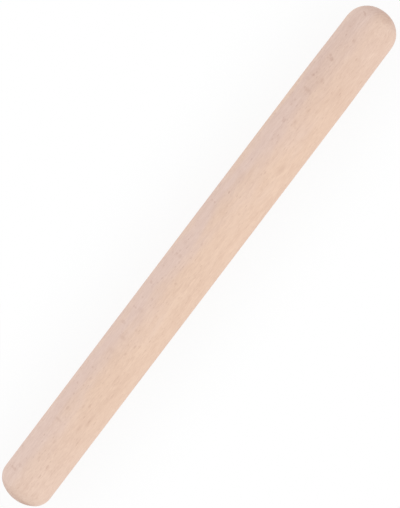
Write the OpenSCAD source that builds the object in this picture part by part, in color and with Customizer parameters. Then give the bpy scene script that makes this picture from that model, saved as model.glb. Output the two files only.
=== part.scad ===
// Straight French rolling pin: one turned length of solid beech with two domed ends.
// The pin lies along X. The origin is at the middle of its length, on its turning axis.

/* [Pin] */
// Length over the two domed ends
pin_length = 435; // [200:5:700]
// Diameter of the straight barrel
barrel_d = 40; // [32:1:80]

/* [Domed ends] */
// How much larger the radius of each crown is than the radius of the barrel
crown_extra_r = 5; // [1:0.5:40]
// Distance from the axis to the centre of the shoulder's arc, at the flatter end (-X)
flatter_shoulder_inset = 7; // [1:0.5:15]
// Distance from the axis to the centre of the shoulder's arc, at the rounder end (+X)
rounder_shoulder_inset = 1.3; // [0.5:0.1:15]

/* [Finish] */
// Segments around the pin
roundness = 180; // [60:12:360]

/* [Hidden] */
$fn = roundness;

beech = [0.89, 0.79, 0.72];
barrel_r = barrel_d / 2;
crown_r = barrel_r + crown_extra_r;

// The crown sits this much below the arc that would only touch the shoulder, so they cross cleanly
crown_set_in = 0.005;

// Radius of the shoulder's arc, which leaves the barrel without a corner
function shoulder_r(inset) = barrel_r - inset;

// Distance from the barrel's edge back to the centre of the crown's arc
function crown_back(inset) =
    sqrt(pow(crown_extra_r + inset, 2) - pow(inset, 2)) + crown_set_in;

// Height of a dome, from the barrel's edge to its tip
function dome_h(inset) = crown_r - crown_back(inset);

flatter_edge = -pin_length / 2 + dome_h(flatter_shoulder_inset);
rounder_edge = pin_length / 2 - dome_h(rounder_shoulder_inset);

// Half section of a dome, with its axis upright and the barrel's edge at height 0.
// The arcs run on below the edge, so every piece of the section overlaps the next one.
module dome_section(inset) {
    back = crown_back(inset);
    lean = atan2(inset, back);
    reach = 2 * crown_r;

    // Crown: the sector from the axis to the line through both arcs' centres
    translate([0, -back])
        intersection() {
            circle(r = crown_r);
            polygon([[0, 0], [0, reach], reach * [sin(lean), cos(lean)]]);
        }

    // Shoulder: its whole disc, up to the axis
    intersection() {
        translate([inset, 0])
            circle(r = shoulder_r(inset));
        translate([0, -barrel_r])
            square([2 * barrel_r, 2 * barrel_r]);
    }
}

// Half section of the whole pin, with the rounder end up
module pin_section() {
    translate([0, flatter_edge])
        square([barrel_r, rounder_edge - flatter_edge]);
    translate([0, rounder_edge])
        dome_section(rounder_shoulder_inset);
    translate([0, flatter_edge])
        mirror([0, 1])
            dome_section(flatter_shoulder_inset);
}

module rolling_pin() {
    color(beech)
        rotate([0, 90, 0])
            rotate_extrude()
                pin_section();
}

rolling_pin();
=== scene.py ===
"""A straight French rolling pin of turned beech, seen from above on a pale floor."""
import math

import bpy
from mathutils import Matrix, Vector


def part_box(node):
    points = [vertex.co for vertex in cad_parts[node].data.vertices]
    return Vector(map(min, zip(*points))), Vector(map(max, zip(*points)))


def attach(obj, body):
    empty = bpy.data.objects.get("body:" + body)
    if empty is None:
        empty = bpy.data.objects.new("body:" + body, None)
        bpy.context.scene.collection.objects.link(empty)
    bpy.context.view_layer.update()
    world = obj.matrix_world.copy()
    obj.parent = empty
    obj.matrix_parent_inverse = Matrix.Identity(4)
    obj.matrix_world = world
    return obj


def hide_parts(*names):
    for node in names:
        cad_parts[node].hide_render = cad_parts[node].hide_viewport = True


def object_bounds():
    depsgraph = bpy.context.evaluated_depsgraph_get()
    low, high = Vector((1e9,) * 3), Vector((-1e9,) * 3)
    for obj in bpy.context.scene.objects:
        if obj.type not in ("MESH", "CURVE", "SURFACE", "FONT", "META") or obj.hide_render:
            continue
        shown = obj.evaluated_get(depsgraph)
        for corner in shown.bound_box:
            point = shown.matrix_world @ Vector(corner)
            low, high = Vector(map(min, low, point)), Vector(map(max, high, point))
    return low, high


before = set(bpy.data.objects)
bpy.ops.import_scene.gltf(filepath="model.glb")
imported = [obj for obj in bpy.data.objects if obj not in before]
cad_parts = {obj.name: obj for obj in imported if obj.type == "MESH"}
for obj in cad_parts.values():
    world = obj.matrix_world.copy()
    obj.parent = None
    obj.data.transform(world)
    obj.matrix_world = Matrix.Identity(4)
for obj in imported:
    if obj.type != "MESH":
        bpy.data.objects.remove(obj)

MM = 0.001
NODE = "rolling_pin"
cad_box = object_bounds()

# Domed ends, as the CAD model has them
CROWN_EXTRA_R = 5 * MM
FLATTER_SHOULDER_INSET = 7 * MM
ROUNDER_SHOULDER_INSET = 1.3 * MM

# Mesh of the pin
SEGMENTS = 144
ARC_STEPS = 16
BARREL_STEP = 4 * MM
UV_GAP = 2 * MM

# Slow waves left by sanding: how deep they are together, and for each one its length along the
# pin, how many times it goes round the pin and where it starts
SANDING_DEPTH = 0.03 * MM
SANDING_WAVES = ((57 * MM, 0, 0.7), (145 * MM, 2, 1.9), (258 * MM, -3, 4.2))

# The photo's pin was sanded a little thinner just before its rounder dome
WAIST = 0.5 * MM
WAIST_FROM = 140 * MM
WAIST_DEEPEST = 199 * MM
WAIST_TO = 211 * MM

# The photograph's frame, in pixels
PHOTO_W = 400
PHOTO_H = 508
PIN_CENTRE_PX = (197.5, 258.4)
PX_PER_M = 1407.4

# Camera. The sensor's width is in millimetres, as Blender takes it.
CAMERA_DISTANCE = 1.2
CAMERA_TILT = math.radians(4.1)
CAMERA_ROLL = math.radians(52.82)
CAMERA_SEES_TO = 50.0
SENSOR_W = 36.0

# Sockets of Blender's Mix node for a factor and colours, whose names it uses more than once
MIX_FACTOR = 0
MIX_A = 6
MIX_B = 7
MIX_RESULT = 2


def srgb(red, green, blue):
    """A colour given in 0 to 255 on the sRGB standard's curve, as the linear RGBA that Blender takes."""
    def linear(c):
        c /= 255
        return c / 12.92 if c <= 0.04045 else ((c + 0.055) / 1.055) ** 2.4
    return (linear(red), linear(green), linear(blue), 1.0)


class Output:
    """An output of a node. Arithmetic on outputs adds Math nodes."""

    def __init__(self, shader, socket):
        self.shader = shader
        self.socket = socket

    def math(self, operation, *others):
        return self.shader.math(operation, self, *others)

    def __add__(self, other):
        return self.math("ADD", other)

    def __sub__(self, other):
        return self.math("SUBTRACT", other)

    def __mul__(self, other):
        return self.math("MULTIPLY", other)

    def __truediv__(self, other):
        return self.math("DIVIDE", other)

    def __radd__(self, other):
        return self.math("ADD", other)

    def __rsub__(self, other):
        return self.shader.math("SUBTRACT", other, self)

    def __abs__(self):
        return self.math("ABSOLUTE")

    def centred(self, size):
        """A value from 0 to 1, as one from minus size to size."""
        return self.math("MULTIPLY_ADD", 2 * size, -size)

    def step(self, low, high):
        """Goes smoothly from 0 at low to 1 at high, also where high is the smaller of the two."""
        ends = {"From Min": low, "From Max": high, "Value": self}
        if low > high:
            ends.update({"From Min": high, "From Max": low, "To Min": 1.0, "To Max": 0.0})
        return self.shader.output("ShaderNodeMapRange", 0, ends, interpolation_type="SMOOTHSTEP")

    def ramp(self, stops):
        """A smooth curve through stops, which are pairs of place and height."""
        made = self.shader.node("ShaderNodeValToRGB", {"Fac": self})
        curve = made.color_ramp
        while len(curve.elements) < len(stops):
            curve.elements.new(position=0.5)
        for element, (place, height) in zip(curve.elements, stops):
            element.position = place
            element.color = (height, height, height, 1.0)
        return Output(self.shader, made.outputs["Color"])


class Shader:
    """Adds nodes to one node tree and joins them."""

    def __init__(self, tree):
        self.tree = tree

    def feed(self, socket, value):
        if isinstance(value, Output):
            self.tree.links.new(value.socket, socket)
        else:
            socket.default_value = value

    def node(self, kind, inputs=(), **settings):
        made = self.tree.nodes.new(kind)
        for name, value in settings.items():
            setattr(made, name, value)
        for name, value in dict(inputs).items():
            self.feed(made.inputs[name], value)
        return made

    def output(self, kind, name, inputs=(), **settings):
        """Adds a node and returns one of its outputs, by name or number."""
        return Output(self, self.node(kind, inputs, **settings).outputs[name])

    def math(self, operation, *numbers):
        return self.output("ShaderNodeMath", 0, enumerate(numbers), operation=operation)

    def point(self, x, y, z):
        return self.output("ShaderNodeCombineXYZ", 0, {"X": x, "Y": y, "Z": z})

    def parts(self, vector):
        made = self.node("ShaderNodeSeparateXYZ", {"Vector": vector})
        return [Output(self, socket) for socket in made.outputs]

    def distance(self, a, b):
        return self.output("ShaderNodeVectorMath", "Value", {0: a, 1: b}, operation="DISTANCE")

    def noise(self, x, y, z, detail=2.0):
        sockets = {"Vector": self.point(x, y, z), "Scale": 1.0, "Detail": detail}
        return self.output("ShaderNodeTexNoise", "Fac", sockets)

    def cells(self, place):
        """Distance from the middle of the nearest cell, and two numbers that are random for each cell."""
        made = self.node("ShaderNodeTexVoronoi", {"Vector": place, "Scale": 1.0})
        first, second, _ = self.parts(Output(self, made.outputs["Color"]))
        return Output(self, made.outputs["Distance"]), first, second

    def random(self, value):
        """A number from 0 to 1 that is the same wherever value is the same."""
        return self.output("ShaderNodeTexWhiteNoise", "Value", {"W": value}, noise_dimensions="1D")

    def mix_colour(self, factor, a, b):
        """Colour a where factor is 0, and colour b where it is 1."""
        sockets = {MIX_FACTOR: factor, MIX_A: a, MIX_B: b}
        return self.output("ShaderNodeMix", MIX_RESULT, sockets, data_type="RGBA")


# Beech. Lengths in the wood are in millimetres.
# The pith lies behind the pin and below it, so the grain is flat on the upper front and on the
# lower back, and quarter between them. Towards the rounder end the grain leans to the front and
# down, by so much for each millimetre.
PITH = (58.0, -36.0)
GRAIN_LEAN = (0.012, 0.002)

# Places in the noise that the grain's waves are taken from, far apart so that they differ
WAVE_Y_PLACE = 186
WAVE_Z_PLACE = 462

# Rings: how dark one is from its inner side, at 0, to its outer side, at 1, how far its border
# shifts, in rings, over which length and from which place in the noise, and how much it can be
# stronger or weaker than the others
RING_WIDTH = 2.3
RING_PROFILE = ((0.0, 0.45), (0.08, 0.0), (0.6, 0.2), (0.86, 0.5), (0.95, 1.0), (1.0, 0.45))
RING_SHIFT = 0.8
RING_SHIFT_LENGTH = 5
RING_SHIFT_PLACE = (0.4, 0.9)
RING_VARIES = 0.5

# Rays: the size of the smallest as a part of the size given, the part of a ray that is at its
# darkest, and the weight from which a ray is as dark as any
RAY_SMALLEST = 0.5
RAY_CORE = 0.6
RAY_FULL_WEIGHT = 0.9

# How far the surface faces along the grain, from where end grain begins to show to where it is full
END_GRAIN = (0.4, 1.0)

# The photo doesn't show the lower half. Rings and broad rays show a little more there: the height
# where that begins, and the height where it is full.
LOW_DOWN = (10.0, -4.0)

# Lightest wood, and the brown of the darkest
CREAM = srgb(240, 210, 188)
# Partly the wood's own pink and partly painted shade, the cooler colour of the upper back
PINK_AND_SHADE = srgb(235, 208, 195)
PALE = srgb(239, 214, 201)
BROWN = srgb(170, 120, 98)

# A pink band lies round the pith and runs along the pin's upper back and its underside. On the
# upper back its pink is partly the wood's own tone and partly painted shade, the cooler colour of
# the side away from the key light. The wood turns cream outside it and inside it, between these
# distances from the pith, and inside it only in part. The band's borders waver by up to the last
# number.
CREAM_OUTSIDE = (66, 84)
CREAM_INSIDE = (64, 50)
CREAM_INSIDE_PART = 0.8
BAND_WAVERS = 14

# Both colours pale in part towards the ends of the pin
PALING = (110, 210)
PALED_PART = 0.45

# How much each feature darkens the wood, from 0, for the lightest wood, to 1, for brown. Fibres,
# dashes, streaks, mottle and blotches lighten it elsewhere by as much.
DARK_ALL_OVER = 0.08
DARK_RINGS = 0.04
DARK_RINGS_ON_ENDS = 0.11
DARK_RINGS_LOW_DOWN = 0.08
DARK_BROAD_RAYS = 0.17
DARK_BROAD_RAYS_LOW_DOWN = 0.08
DARK_FINE_RAYS = 0.17
DARK_FIBRES = 0.2
DARK_DASHES = 0.17
DARK_STREAKS = 0.05
DARK_MOTTLE = 0.09
DARK_BLOTCHES = 0.06
DARK_ENDS = 0.16

# The part of the pin before its rounder end is darker: where that begins, where it is full and by
# how much
DARKER_PART = (60, 190)
DARK_DARKER_PART = 0.05

# Gloss and relief. A feature with a minus sign lies lower than the rest.
ROUGHNESS = 0.58
ROUGHNESS_VARIES = 0.06
RAYS_SMOOTHER = 0.06
SPECULAR = 0.3
RELIEF_FIBRES = 0.5
RELIEF_DASHES = 0.4
RELIEF_RINGS = -0.25
RELIEF_BROAD_RAYS = -0.2
BUMP_STRENGTH = 0.5
BUMP_HEIGHT = 0.06 * MM

# How uneven the marks' outlines are, how far their places follow the grain's ripple, the part of a
# mark that is at its darkest, and the height where they begin to show and where they are full
MARK_DASHES = 0.8
MARK_FIBRES = 0.7
MARK_RIPPLE = 0.6
MARK_CORE = 0.4
MARKS_SHOW = (0.0, 6.0)

# Marks that stand out in the photo, from the pin's rounder end on: place along and across the pin,
# half their length and half their width, and how dark they are. The last six are lighter than the
# wood around them.
MARKS = (
    (196, 13, 6.5, 3, 0.08),
    (187, 4.5, 2, 1.5, 0.13),
    (168, 9.5, 2, 2.5, 0.20),
    (152, 13.5, 2, 1.5, 0.08),
    (152, 5.5, 2.5, 1.5, 0.14),
    (151, -9, 10, 2.5, 0.09),
    (149, 7.5, 1.5, 1.5, 0.10),
    (141, 10, 2, 4, 0.14),
    (130, 0.5, 2.5, 1, 0.14),
    (118, 3.5, 2.5, 1, 0.13),
    (86, -9, 5.5, 2, 0.09),
    (64, 10, 6, 3, 0.07),
    (11, 3.5, 1.5, 1, 0.17),
    (5, 13.5, 2.5, 1.5, 0.10),
    (-5, 10.5, 2, 2, 0.12),
    (-22, 1.5, 1.5, 1, 0.17),
    (-52, 9.5, 2.5, 2.5, 0.10),
    (-65, 3.5, 1.5, 1.5, 0.12),
    (-75, 8, 2, 4, 0.10),
    (-87, 9.5, 2.5, 3.5, 0.10),
    (-101, -6, 7.5, 1, 0.12),
    (-137, -9, 7.5, 1.5, 0.10),
    (-145, -6, 5, 1.5, 0.10),
    (-149, 9, 1.2, 4, 0.14),
    (-163, 2.5, 2.5, 1, 0.12),
    (-179, 4, 3, 1.2, 0.12),
    # This one makes the upper front of the flatter dome darker
    (-214, -9, 3.5, 9, 0.24),
    (204, -6.5, 8, 7, -0.05),
    (185, -10.5, 4, 2, -0.09),
    (71, -15, 5, 2.5, -0.08),
    (13, -8, 6, 2, -0.09),
    (-59, -7, 62, 2, -0.09),
    (-193, -7.5, 16, 6, -0.05),
)


def waves(shader, x, y, z, push, length, width):
    """How far the grain is pushed aside, by waves of this length along it and width across it."""
    return shader.noise(x / length, y / width, z / width).centred(push)


def growth_rings(shader, out):
    """Darkness of the rings: each one deepens slowly and ends in a thin darker line."""
    shift = shader.noise(out / RING_SHIFT_LENGTH, *RING_SHIFT_PLACE).centred(RING_SHIFT)
    count = out / RING_WIDTH + shift
    profile = count.math("FRACT").ramp(RING_PROFILE)
    strength = shader.random(count.math("FLOOR")).centred(RING_VARIES) + 1.0
    return profile * strength


def rays(shader, place, gap, length, depth, size):
    """Thin sheets of ray cells: spindles on the flat grain, flecks on the quarter grain."""
    along, out, round_pith = place
    distance, reach, weight = shader.cells(shader.point(round_pith / gap, along / length, out / depth))
    sheet = (distance / (reach + RAY_SMALLEST)).step(size, RAY_CORE * size)
    return sheet * weight.step(0.0, RAY_FULL_WEIGHT)


def grain(shader, place, length, width, detail=2.0):
    """Noise that is stretched along the grain."""
    along, across, up = place
    return shader.noise(along / length, across / width, up / width, detail)


class Wood:
    """What the material knows at each place: where it is in the wood, and how strong each feature is."""

    def __init__(self, shader):
        place = shader.output("ShaderNodeTexCoord", "Object")
        x, y, z = [part / MM for part in shader.parts(place)]
        wander_y = waves(shader, x, y, WAVE_Y_PLACE, push=2.6, length=110, width=60)
        wander_z = waves(shader, x, WAVE_Z_PLACE, z, push=2.2, length=90, width=60)
        ripple = waves(shader, x, y, z, push=1.1, length=13, width=5)
        self.x = x
        self.z = z
        self.mark_y = y + ripple * MARK_RIPPLE

        # Rays run straight out from the pith, and all the rest ripples. The way round the pith is
        # measured at the distance of the pin's axis.
        across = x * GRAIN_LEAN[0] + y + wander_y - PITH[0]
        up = x * GRAIN_LEAN[1] + z + wander_z - PITH[1]
        round_pith = across.math("ARCTAN2", up) * math.hypot(*PITH)
        across += ripple
        up += ripple
        self.out = (across * across + up * up).math("SQRT")
        self.rings = growth_rings(shader, self.out)
        ray_place = (x, self.out, round_pith)
        self.broad_rays = rays(shader, ray_place, gap=1.9, length=9.0, depth=60.0, size=0.17)
        self.fine_rays = rays(shader, ray_place, gap=0.55, length=4.0, depth=16.0, size=0.24)

        in_grain = (x, across, up)
        self.fibres = grain(shader, in_grain, length=4, width=0.13, detail=3.0)
        self.dashes = grain(shader, in_grain, length=5, width=1, detail=3.0)
        self.streaks = grain(shader, in_grain, length=55, width=1.8)
        self.mottle = grain(shader, in_grain, length=14, width=4.5)
        self.blotches = grain(shader, in_grain, length=48, width=12)

        facing = shader.parts(shader.output("ShaderNodeTexCoord", "Normal"))
        self.end_grain = abs(facing[0]).step(*END_GRAIN)
        self.low_down = z.step(*LOW_DOWN)


def marks(shader, wood):
    """Darkness of the marks of MARKS, on the upper side only."""
    rough = wood.dashes.centred(MARK_DASHES) + wood.fibres.centred(MARK_FIBRES)
    total = 0.0
    for mark_x, mark_y, half_length, half_width, depth in MARKS:
        place = shader.point(wood.x / half_length, wood.mark_y / half_width, 0.0)
        away = shader.distance(place, (mark_x / half_length, mark_y / half_width, 0.0))
        total = (away + rough).step(1.0, MARK_CORE) * depth + total
    return total * wood.z.step(*MARKS_SHOW)


def wood_darkness(shader, wood):
    """How dark the wood is, from 0, for the lightest, to 1, for brown."""
    ring_weight = wood.end_grain * DARK_RINGS_ON_ENDS + wood.low_down * DARK_RINGS_LOW_DOWN + DARK_RINGS
    ray_weight = wood.low_down * DARK_BROAD_RAYS_LOW_DOWN + DARK_BROAD_RAYS
    return (
        DARK_ALL_OVER
        + wood.rings * ring_weight
        + wood.broad_rays * ray_weight
        + wood.fine_rays * DARK_FINE_RAYS
        + marks(shader, wood)
        + wood.fibres.centred(DARK_FIBRES)
        + wood.dashes.centred(DARK_DASHES)
        + wood.streaks.centred(DARK_STREAKS)
        + wood.mottle.centred(DARK_MOTTLE)
        + wood.blotches.centred(DARK_BLOTCHES)
        + wood.x.step(*DARKER_PART) * DARK_DARKER_PART
        + wood.end_grain * DARK_ENDS
    )


def lightest_wood_and_shade(shader, wood):
    """Colour of the lightest wood: pink and cream in broad bands, the pink partly painted shade, and
    paler towards the ends.
    """
    band = wood.out + wood.blotches.centred(BAND_WAVERS)
    inside = band.step(*CREAM_INSIDE) * CREAM_INSIDE_PART
    cream = band.step(*CREAM_OUTSIDE).math("MAXIMUM", inside)
    paling = abs(wood.x).step(*PALING) * PALED_PART
    return shader.mix_colour(paling, shader.mix_colour(cream, PINK_AND_SHADE, CREAM), PALE)


def wood_relief(wood):
    """Height of the surface, in parts of the bump's height."""
    return (
        wood.fibres * RELIEF_FIBRES
        + wood.dashes * RELIEF_DASHES
        + wood.rings * RELIEF_RINGS
        + wood.broad_rays * RELIEF_BROAD_RAYS
    )


def beech_material():
    material = bpy.data.materials.new("beech")
    material.use_nodes = True
    shader = Shader(material.node_tree)
    surface = material.node_tree.nodes["Principled BSDF"].inputs
    wood = Wood(shader)
    colour = shader.mix_colour(wood_darkness(shader, wood), lightest_wood_and_shade(shader, wood), BROWN)
    shader.feed(surface["Base Color"], colour)
    roughness = wood.fibres.centred(ROUGHNESS_VARIES) - wood.broad_rays * RAYS_SMOOTHER + ROUGHNESS
    shader.feed(surface["Roughness"], roughness)
    surface["Specular IOR Level"].default_value = SPECULAR
    bump = {"Height": wood_relief(wood), "Strength": BUMP_STRENGTH, "Distance": BUMP_HEIGHT}
    shader.feed(surface["Normal"], shader.output("ShaderNodeBump", "Normal", bump))
    return material


def dome_outline(radius, inset):
    """Half outline of a dome from its tip to the barrel's edge: (height above the edge, radius)."""
    crown_r = radius + CROWN_EXTRA_R
    shoulder_r = radius - inset
    lean = math.asin(inset / (CROWN_EXTRA_R + inset))
    back = (CROWN_EXTRA_R + inset) * math.cos(lean)
    outline = []
    for step in range(ARC_STEPS + 1):
        angle = lean * step / ARC_STEPS
        outline.append((crown_r * math.cos(angle) - back, crown_r * math.sin(angle)))
    for step in range(1, ARC_STEPS + 1):
        angle = lean + (math.pi / 2 - lean) * step / ARC_STEPS
        outline.append((shoulder_r * math.cos(angle), inset + shoulder_r * math.sin(angle)))
    return outline


def pin_outline(low, high):
    """Half outline of the pin from its flatter tip to its rounder one: (x, radius)."""
    radius = (high.z - low.z) / 2
    flatter = dome_outline(radius, FLATTER_SHOULDER_INSET)
    rounder = dome_outline(radius, ROUNDER_SHOULDER_INSET)
    flatter_edge = low.x + flatter[0][0]
    rounder_edge = high.x - rounder[0][0]
    steps = round((rounder_edge - flatter_edge) / BARREL_STEP)
    outline = [(flatter_edge - height, r) for height, r in flatter]
    for step in range(1, steps):
        outline.append((flatter_edge + (rounder_edge - flatter_edge) * step / steps, radius))
    outline += [(rounder_edge + height, r) for height, r in reversed(rounder)]
    return outline


def rise(value, low, high):
    """A smooth step from 0 at low to 1 at high."""
    part = min(max((value - low) / (high - low), 0.0), 1.0)
    return part * part * (3 - 2 * part)


def sanded_off(x, angle):
    """How far the sanded surface lies under the true outline: in slow waves, and in the waist."""
    total = 0.0
    for length, turns, start in SANDING_WAVES:
        total += math.sin(2 * math.pi * x / length + turns * angle + start)
    sanding = (1 + total / len(SANDING_WAVES)) / 2
    waist = rise(x, WAIST_FROM, WAIST_DEEPEST) * (1 - rise(x, WAIST_DEEPEST, WAIST_TO))
    return SANDING_DEPTH * sanding + WAIST * waist


def lathe_faces(rings):
    """Faces between neighbouring rings, as corners (ring, step). The first and last are the tips."""
    last = rings - 1
    faces = []
    for step in range(SEGMENTS):
        faces.append(((0, step), (1, step), (1, step + 1)))
        for ring in range(1, last - 1):
            faces.append(((ring, step), (ring + 1, step), (ring + 1, step + 1), (ring, step + 1)))
        faces.append(((last - 1, step + 1), (last - 1, step), (last, step)))
    return faces


def flat_map(outline, faces):
    """Where each corner lies on a flat map for baking, in metres and all to one scale.

    The barrel lies there in two lengths, one above the other, and each dome as a disc beside them.
    Run is the distance along the outline from the flatter tip, and first and last are the rings at
    the barrel's edges.
    """
    run = [0.0]
    for (x0, r0), (x1, r1) in zip(outline, outline[1:]):
        run.append(run[-1] + math.hypot(x1 - x0, r1 - r0))
    first = 2 * ARC_STEPS
    last = len(outline) - 1 - first
    middle = (first + last) // 2
    radius = outline[first][1]
    next_length = 2 * math.pi * radius + UV_GAP
    flatter_size = run[first]
    rounder_size = run[-1] - run[last]
    disc_x = run[last] - run[middle] + UV_GAP + max(flatter_size, rounder_size)
    rounder_y = 2 * flatter_size + UV_GAP + rounder_size
    places = []
    for face in faces:
        ring = min(corner[0] for corner in face)
        for i, step in face:
            angle = 2 * math.pi * step / SEGMENTS
            if ring < first:
                spoke = (run[i] * math.cos(angle), run[i] * math.sin(angle))
                places.append((disc_x + spoke[0], flatter_size + spoke[1]))
            elif ring >= last:
                to_tip = run[-1] - run[i]
                spoke = (to_tip * math.cos(angle), -to_tip * math.sin(angle))
                places.append((disc_x + spoke[0], rounder_y + spoke[1]))
            elif ring < middle:
                places.append((run[i] - run[first], radius * angle))
            else:
                places.append((run[i] - run[middle], radius * angle + next_length))
    return places


def pin_mesh(outline):
    """A lathe mesh about X, with a point at each tip and rings of SEGMENTS points between.

    Each ring starts at the bottom, so that the seam of the flat map is out of sight.
    """
    points = [(outline[0][0], 0.0, 0.0)]
    for x, radius in outline[1:-1]:
        for step in range(SEGMENTS):
            angle = 2 * math.pi * step / SEGMENTS
            r = radius - sanded_off(x, angle)
            points.append((x, -r * math.sin(angle), -r * math.cos(angle)))
    points.append((outline[-1][0], 0.0, 0.0))

    def point_at(ring, step):
        if ring == 0:
            return 0
        return min(1 + (ring - 1) * SEGMENTS + step % SEGMENTS, len(points) - 1)

    faces = lathe_faces(len(outline))
    mesh = bpy.data.meshes.new("turned_pin")
    mesh.from_pydata(points, [], [[point_at(*corner) for corner in face] for face in faces])
    places = flat_map(outline, faces)
    size = max(max(place) for place in places) + 2 * UV_GAP
    bake_map = mesh.uv_layers.new(name="OFBake")
    bake_map.data.foreach_set("uv", [(part + UV_GAP) / size for place in places for part in place])
    mesh.shade_smooth()
    return mesh


def build_pin(material):
    low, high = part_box(NODE)
    pin = bpy.data.objects.new("turned_pin", pin_mesh(pin_outline(low, high)))
    bpy.context.scene.collection.objects.link(pin)
    pin.data.materials.append(material)
    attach(pin, "root")
    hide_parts(NODE)


# Room
FLOOR_SIZE = 8.0
FLOOR_COLOUR = srgb(242, 242, 242)
WHITE = (1.0, 1.0, 1.0, 1.0)
WORLD_LIGHT = 0.74

# The part of the object's shadow that shows, and how far from the pin's axis it fades away
SHADOW_SHOWN = 0.1
SHADOW_FADES_FROM = 0.02
SHADOW_GONE_AT = 0.09

# Both lamps
SOFT_BOX_W = 1.8
SOFT_BOX_H = 0.9


def seen_directly(shader):
    """1 for what the camera sees, also in a mirror or through glass, and 0 for other light."""
    path = shader.node("ShaderNodeLightPath").outputs
    seen = 0.0
    for name in ("Is Camera Ray", "Is Glossy Ray", "Is Transmission Ray"):
        seen = Output(shader, path[name]) + seen
    return seen.math("MINIMUM", 1.0)


def floor_material():
    """Pale floor that looks plain white, apart from part of the object's shadow."""
    material = bpy.data.materials.new("floor")
    material.use_nodes = True
    nodes = material.node_tree.nodes
    nodes.remove(nodes["Principled BSDF"])
    shader = Shader(material.node_tree)
    matt = shader.output("ShaderNodeBsdfDiffuse", 0, {"Color": FLOOR_COLOUR})
    white = shader.output("ShaderNodeEmission", 0, {"Color": WHITE, "Strength": 1.0})
    x, y, _ = shader.parts(shader.output("ShaderNodeTexCoord", "Object"))
    past_end = (abs(x) - cad_box[1][0]).math("MAXIMUM", 0.0)
    away = (past_end * past_end + y * y).math("SQRT")
    shown = away.step(SHADOW_GONE_AT, SHADOW_FADES_FROM) * SHADOW_SHOWN
    plain = (1.0 - shown) * seen_directly(shader)
    mixed = shader.output("ShaderNodeMixShader", 0, {0: plain, 1: matt, 2: white})
    shader.feed(nodes["Material Output"].inputs["Surface"], mixed)
    return material


def build_floor():
    height = cad_box[0][2]
    half = FLOOR_SIZE / 2
    corners = [(-half, -half, height), (half, -half, height), (half, half, height), (-half, half, height)]
    mesh = bpy.data.meshes.new("floor")
    mesh.from_pydata(corners, [], [(0, 1, 2, 3)])
    mesh.materials.append(floor_material())
    floor = bpy.data.objects.new("floor", mesh)
    bpy.context.scene.collection.objects.link(floor)


def build_world():
    world = bpy.data.worlds.new("studio")
    bpy.context.scene.world = world
    world.use_nodes = True
    shader = Shader(world.node_tree)
    background = world.node_tree.nodes["Background"]
    shader.feed(background.inputs["Color"], WHITE)
    strength = seen_directly(shader) * (1.0 - WORLD_LIGHT) + WORLD_LIGHT
    shader.feed(background.inputs["Strength"], strength)


def soft_box(name, place, power, colour):
    """A broad lamp at place that faces the middle of the pin."""
    light = bpy.data.lights.new(name, "AREA")
    light.shape = "RECTANGLE"
    light.size = SOFT_BOX_W
    light.size_y = SOFT_BOX_H
    light.energy = power
    light.color = colour
    lamp = bpy.data.objects.new(name, light)
    lamp.location = place
    lamp.rotation_euler = Vector(place).to_track_quat("Z", "Y").to_euler()
    bpy.context.scene.collection.objects.link(lamp)


def build_lights():
    soft_box("key_light", place=(0.2, -1.24, 0.85), power=6.6, colour=(1.0, 0.975, 0.94))
    soft_box("fill_light", place=(-0.2, 1.24, 0.85), power=4.9, colour=(0.94, 0.965, 1.0))


def build_camera():
    """Looks down at the pin, tilted so that its rounder end is nearer, and rolled as the photo is."""
    back = Vector((math.sin(CAMERA_TILT), 0.0, math.cos(CAMERA_TILT)))
    pin_way = Vector((math.cos(CAMERA_TILT), 0.0, -math.sin(CAMERA_TILT)))
    across = back.cross(pin_way)
    right = math.cos(CAMERA_ROLL) * pin_way - math.sin(CAMERA_ROLL) * across
    up = math.sin(CAMERA_ROLL) * pin_way + math.cos(CAMERA_ROLL) * across
    off_right = (PIN_CENTRE_PX[0] - PHOTO_W / 2) / PX_PER_M
    off_up = (PHOTO_H / 2 - PIN_CENTRE_PX[1]) / PX_PER_M
    camera = bpy.data.cameras.new("camera")
    camera.sensor_fit = "HORIZONTAL"
    camera.sensor_width = SENSOR_W
    camera.lens = SENSOR_W * PX_PER_M * CAMERA_DISTANCE / PHOTO_W
    camera.clip_end = CAMERA_SEES_TO
    stand = bpy.data.objects.new("camera", camera)
    turn = Matrix((right, up, back)).transposed().to_4x4()
    spot = CAMERA_DISTANCE * back - off_right * right - off_up * up
    stand.matrix_world = Matrix.Translation(spot) @ turn
    bpy.context.scene.collection.objects.link(stand)
    bpy.context.scene.camera = stand


build_camera()
build_pin(beech_material())
build_floor()
build_world()
build_lights()
bpy.context.scene.view_settings.view_transform = "Standard"
